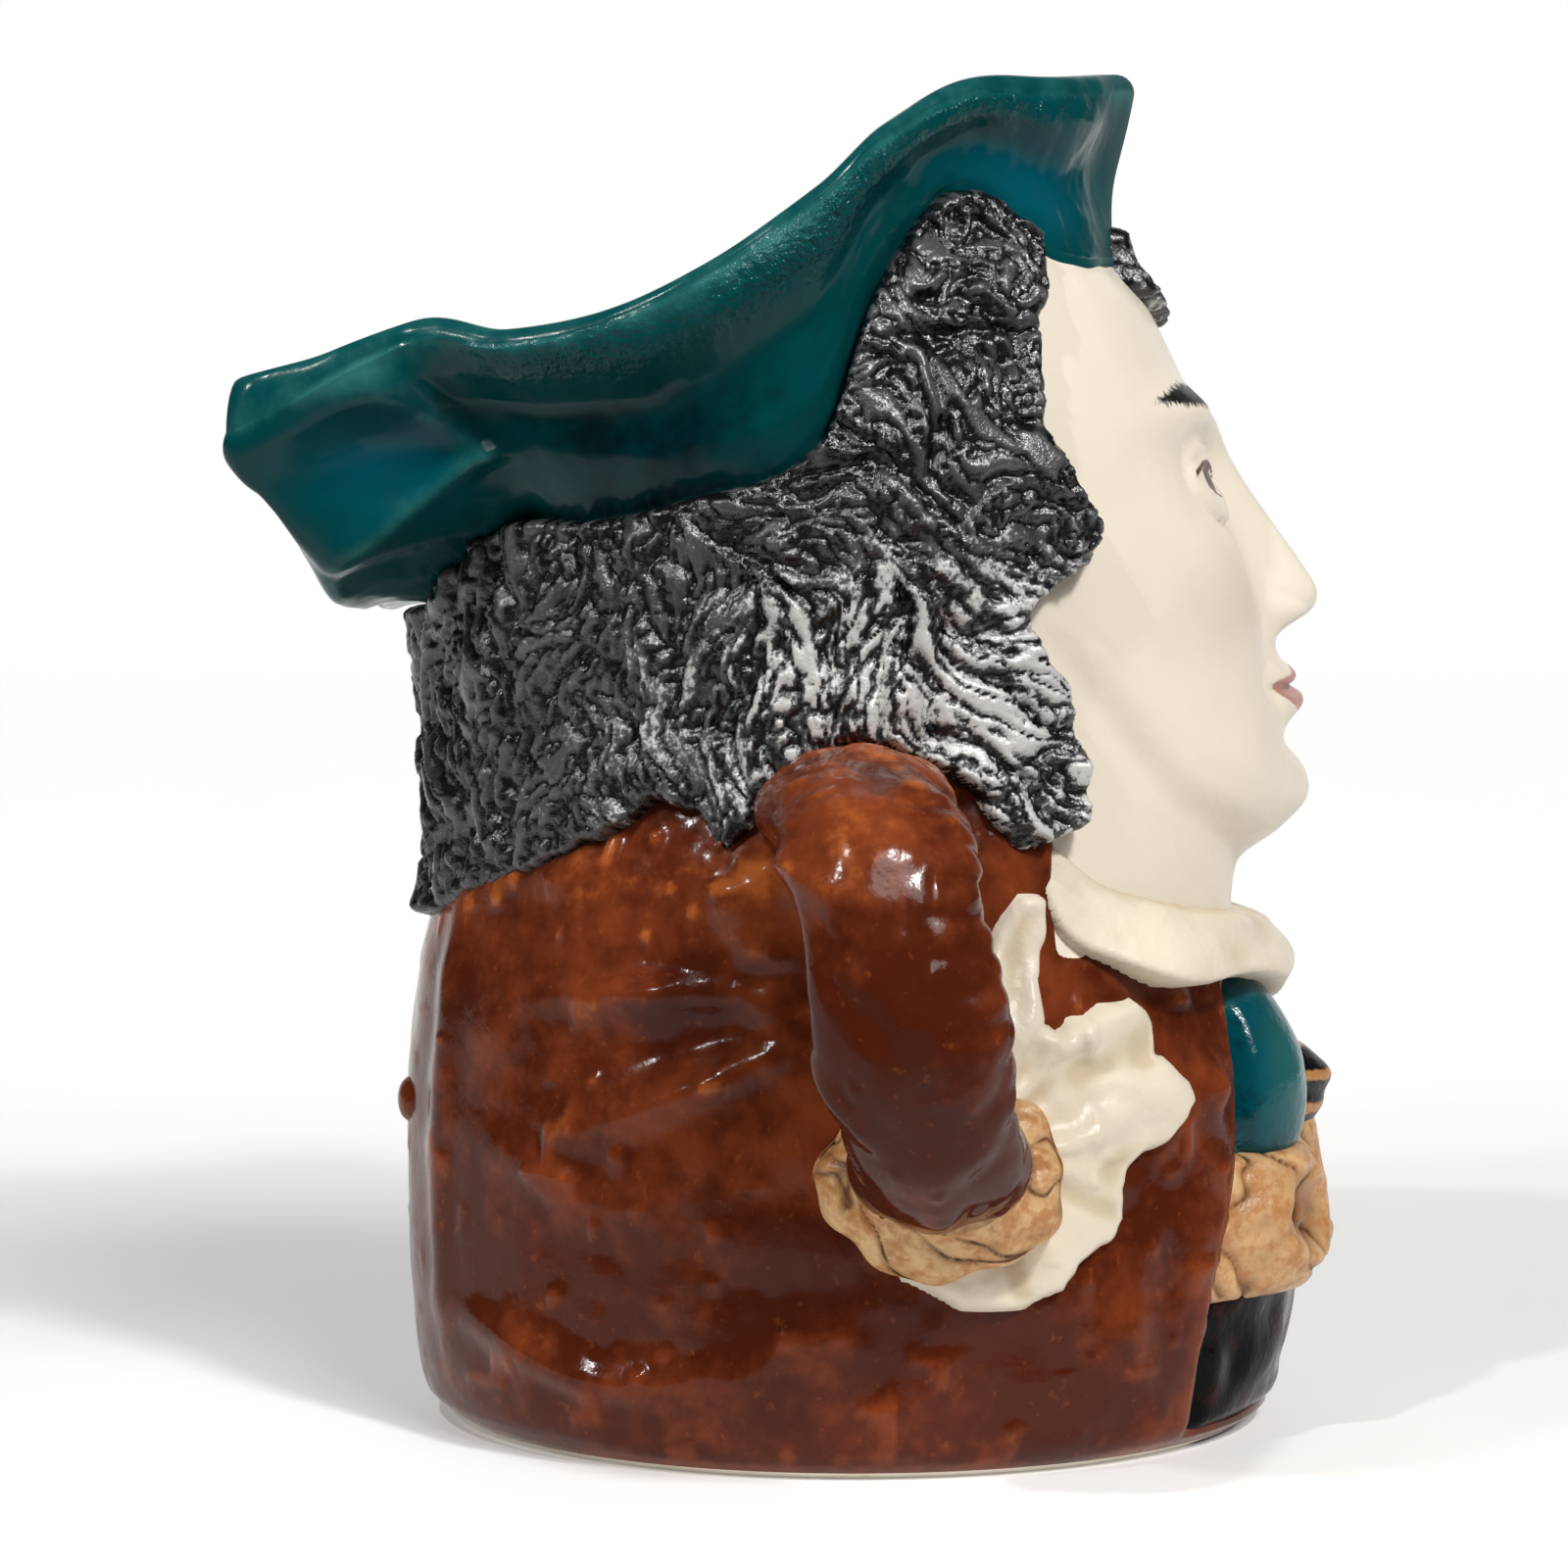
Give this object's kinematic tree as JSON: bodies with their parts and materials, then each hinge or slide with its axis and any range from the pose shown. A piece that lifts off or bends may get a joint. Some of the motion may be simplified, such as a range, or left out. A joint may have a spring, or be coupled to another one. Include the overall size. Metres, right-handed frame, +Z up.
{
  "type": "toby jug",
  "caption": "Hand-painted glazed earthenware toby jug: head and shoulders of a man in a three-cornered hat, open at the top, with a sleeved arm as the handle.",
  "frame": {"origin": "middle of the flat underside, on the surface that the jug stands on", "axes": "+Z up, the figure faces -Y, its left side is +X and its right arm, the handle, is on -X"},
  "size_m": [0.1426, 0.136, 0.17],
  "materials": {
    "glazed_earthenware": "hand-painted in red-brown, teal green, grey-black, cream, tan and navy under a gloss glaze"
  },
  "bodies": {
    "root": {"toby_jug": "glazed_earthenware"}
  },
  "joints": []
}
